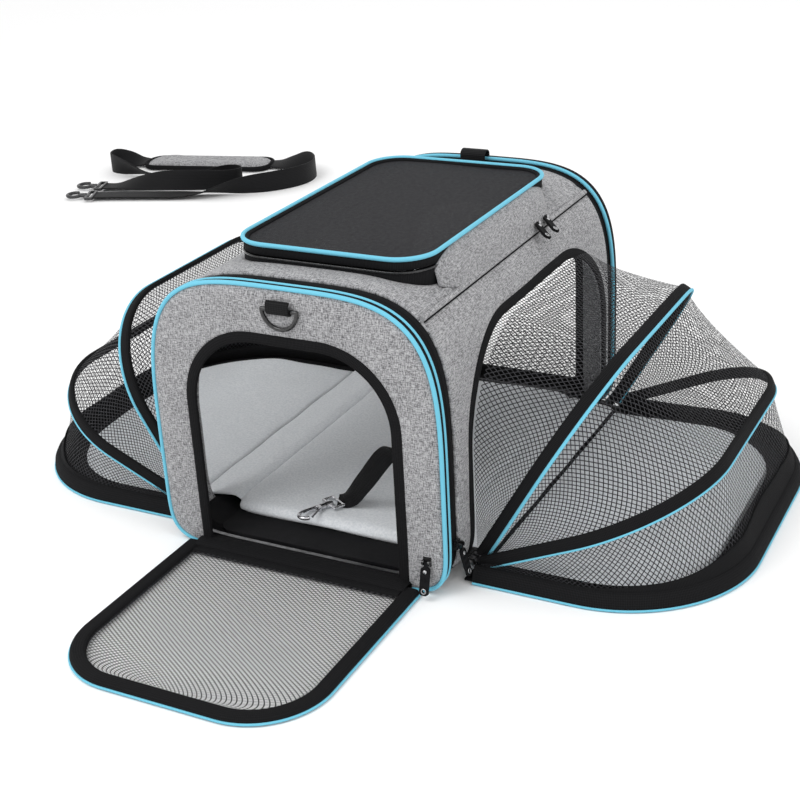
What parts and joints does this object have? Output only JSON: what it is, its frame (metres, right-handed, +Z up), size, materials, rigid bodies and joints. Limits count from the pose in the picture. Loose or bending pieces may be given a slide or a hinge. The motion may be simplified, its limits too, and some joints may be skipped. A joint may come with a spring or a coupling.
{
  "type": "soft-sided pet carrier bag",
  "caption": "Soft pet carrier with a drop-down front door, roof flap, fold-out side tents, carrying rings and a shoulder strap lying beside it.",
  "frame": {"origin": "centre of the underside of the carrier body, on the ground", "axes": "+Z up, -Y towards the front door, +X towards the extension on the right as seen from the front door"},
  "size_m": [1.4742, 1.4984, 0.2969],
  "materials": {
    "heather": "woven heather polyester",
    "black_tape": "ribbed black binding",
    "fleece": "short pile",
    "board": "fabric covered board",
    "bottom": "black coated cloth",
    "mesh": "open knit mesh",
    "side_mesh": "woven mesh",
    "spring_wire": "spring steel",
    "pin": "steel",
    "webbing": "ribbed webbing",
    "chrome": "polished",
    "ring": "black enamel",
    "zip": "black",
    "plastic": "moulded",
    "pad": "padded mesh"
  },
  "bodies": {
    "carrier": {"bottom_panel": "bottom", "base_board": "board", "main_mat": "fleece", "left_side_panel": "heather", "right_side_panel": "heather", "top_panel": "heather", "front_panel": "heather", "rear_panel": "heather", "zip_bands": "black_tape", "frame_wires": "spring_wire", "side_bindings": "black_tape", "door_bindings": "black_tape", "roof_rim": "black_tape", "pivot_pins": "pin", "ring_tabs": "black_tape", "tether_strap": "webbing", "tether_swivel": "chrome", "top_slider_a": "zip", "top_slider_b": "zip"},
    "front_ring": {"front_d_ring": "ring"},
    "rear_ring": {"rear_d_ring": "ring"},
    "tether_clip": {"tether_hook": "chrome"},
    "tether_tongue": {"tether_gate": "chrome"},
    "front_door": {"front_door_border": "black_tape", "front_door_mesh": "mesh"},
    "rear_door": {"rear_door_border": "black_tape", "rear_door_mesh": "mesh"},
    "roof_flap": {"flap_band": "black_tape", "flap_mesh": "mesh"},
    "door_zip": {"door_slider": "zip"},
    "door_zip_pull": {"door_pull": "black_tape"},
    "side_zip": {"side_slider": "zip"},
    "side_zip_pull": {"side_pull": "black_tape"},
    "top_zip_pull_a": {"top_pull_a": "black_tape"},
    "top_zip_pull_b": {"top_pull_b": "black_tape"},
    "shoulder_strap": {"strap_webbing": "webbing", "strap_pad": "pad", "tri_glide": "plastic", "near_hook_loop": "plastic", "far_hook_loop": "plastic"},
    "near_clip": {"near_hook": "plastic"},
    "near_tongue": {"near_hook_gate": "plastic"},
    "far_clip": {"far_hook": "plastic"},
    "far_tongue": {"far_hook_gate": "plastic"},
    "right_inner_hoop": {"right_inner_wire": "spring_wire", "right_inner_sleeve": "black_tape", "right_gores": "side_mesh"},
    "right_outer_hoop": {"right_outer_wire": "spring_wire", "right_outer_sleeve": "black_tape"},
    "right_floor": {"right_floor_wire": "spring_wire", "right_floor_panel": "black_tape", "right_floor_mat": "fleece"},
    "left_inner_hoop": {"left_inner_wire": "spring_wire", "left_inner_sleeve": "black_tape", "left_gores": "side_mesh"},
    "left_outer_hoop": {"left_outer_wire": "spring_wire", "left_outer_sleeve": "black_tape"},
    "left_floor": {"left_floor_wire": "spring_wire", "left_floor_panel": "black_tape", "left_floor_mat": "fleece"}
  },
  "joints": [
    {"name": "right_inner_fold", "type": "hinge", "parent": "carrier", "child": "right_inner_hoop", "pos_m": [0.156, 0.01, 0.014], "axis": [0, -1, 0], "range_deg": [0, 30], "deforming": ["right_gores"]},
    {"name": "right_outer_fold", "type": "hinge", "parent": "right_inner_hoop", "child": "right_outer_hoop", "pos_m": [0.156, 0.01, 0.014], "axis": [0, -1, 0], "range_deg": [0, 36]},
    {"name": "right_floor_fold", "type": "hinge", "parent": "right_outer_hoop", "child": "right_floor", "pos_m": [0.156, 0.01, 0.014], "axis": [0, -1, 0], "range_deg": [0, 24]},
    {"name": "left_inner_fold", "type": "hinge", "parent": "carrier", "child": "left_inner_hoop", "pos_m": [-0.156, 0.01, 0.014], "axis": [0, 1, 0], "range_deg": [0, 30], "deforming": ["left_gores"]},
    {"name": "left_outer_fold", "type": "hinge", "parent": "left_inner_hoop", "child": "left_outer_hoop", "pos_m": [-0.156, 0.01, 0.014], "axis": [0, 1, 0], "range_deg": [0, 36]},
    {"name": "left_floor_fold", "type": "hinge", "parent": "left_outer_hoop", "child": "left_floor", "pos_m": [-0.156, 0.01, 0.014], "axis": [0, 1, 0], "range_deg": [0, 24]},
    {"name": "front_door_fold", "type": "hinge", "parent": "carrier", "child": "front_door", "pos_m": [0, -0.235, 0.004], "axis": [-1, 0, 0], "range_deg": [0, 90]},
    {"name": "rear_door_fold", "type": "hinge", "parent": "carrier", "child": "rear_door", "pos_m": [0, 0.235, 0.004], "axis": [-1, 0, 0], "range_deg": [0, 90]},
    {"name": "roof_flap_fold", "type": "hinge", "parent": "carrier", "child": "roof_flap", "pos_m": [0.11, -0.01, 0.284], "axis": [0, 1, 0], "range_deg": [0, 170]},
    {"name": "front_ring_swing", "type": "hinge", "parent": "carrier", "child": "front_ring", "pos_m": [0, -0.2325, 0.262], "axis": [-1, 0, 0], "range_deg": [0, 150]},
    {"name": "rear_ring_swing", "type": "hinge", "parent": "carrier", "child": "rear_ring", "pos_m": [0, 0.2325, 0.262], "axis": [1, 0, 0], "range_deg": [0, 150]},
    {"name": "tether_swivel_turn", "type": "hinge", "parent": "carrier", "child": "tether_clip", "pos_m": [-0.009, -0.142, 0.0246], "axis": [-0.5, -0.866, 0], "range_deg": [0, 180]},
    {"name": "tether_gate_open", "type": "hinge", "parent": "tether_clip", "child": "tether_tongue", "pos_m": [-0.0179, -0.16342, 0.0246], "axis": [0, 0, -1], "range_deg": [0, 28], "stiffness_Nm_per_rad": 0.02},
    {"name": "door_zip_slide", "type": "slide", "parent": "carrier", "child": "door_zip", "axis": [0, 0, 1], "range_m": [0, 0.12]},
    {"name": "door_pull_swing", "type": "hinge", "parent": "door_zip", "child": "door_zip_pull", "pos_m": [0.134, -0.2338, 0.036], "axis": [-1, 0, 0], "range_deg": [0, 150]},
    {"name": "side_zip_slide", "type": "slide", "parent": "carrier", "child": "side_zip", "axis": [0, 0, 1], "range_m": [0, 0.08]},
    {"name": "side_pull_swing", "type": "hinge", "parent": "side_zip", "child": "side_zip_pull", "pos_m": [0.1553, -0.205, 0.044], "axis": [0, -1, 0], "range_deg": [0, 150]},
    {"name": "top_pull_a_swing", "type": "hinge", "parent": "carrier", "child": "top_zip_pull_a", "pos_m": [0.12129, 0.068, 0.26353], "axis": [-0.5417, -0.7071, 0.4545], "range_deg": [0, 40]},
    {"name": "top_pull_b_swing", "type": "hinge", "parent": "carrier", "child": "top_zip_pull_b", "pos_m": [0.12129, 0.09, 0.26353], "axis": [-0.5417, -0.7071, 0.4545], "range_deg": [0, 40]},
    {"name": "strap_lift", "type": "slide", "parent": "carrier", "child": "shoulder_strap", "axis": [0, 0, 1], "range_m": [0, 0.3]},
    {"name": "near_hook_turn", "type": "hinge", "parent": "shoulder_strap", "child": "near_clip", "pos_m": [-0.99659, 0.72282, 0.006], "axis": [-0.9135, -0.4067, 0], "continuous": true},
    {"name": "near_gate_open", "type": "hinge", "parent": "near_clip", "child": "near_tongue", "pos_m": [-1.01618, 0.72012, 0.006], "axis": [0, 0, 1], "range_deg": [0, 45], "stiffness_Nm_per_rad": 0.02},
    {"name": "far_hook_turn", "type": "hinge", "parent": "shoulder_strap", "child": "far_clip", "pos_m": [-1.01628, 0.7769, 0.006], "axis": [-0.9397, -0.342, 0], "continuous": true},
    {"name": "far_gate_open", "type": "hinge", "parent": "far_clip", "child": "far_tongue", "pos_m": [-1.03602, 0.77557, 0.006], "axis": [0, 0, 1], "range_deg": [0, 45], "stiffness_Nm_per_rad": 0.02}
  ],
  "couplings": [
    {"joint": "right_outer_fold", "follows": "right_inner_fold", "ratio": 1.2},
    {"joint": "right_floor_fold", "follows": "right_inner_fold", "ratio": 0.8},
    {"joint": "left_outer_fold", "follows": "left_inner_fold", "ratio": 1.2},
    {"joint": "left_floor_fold", "follows": "left_inner_fold", "ratio": 0.8}
  ]
}
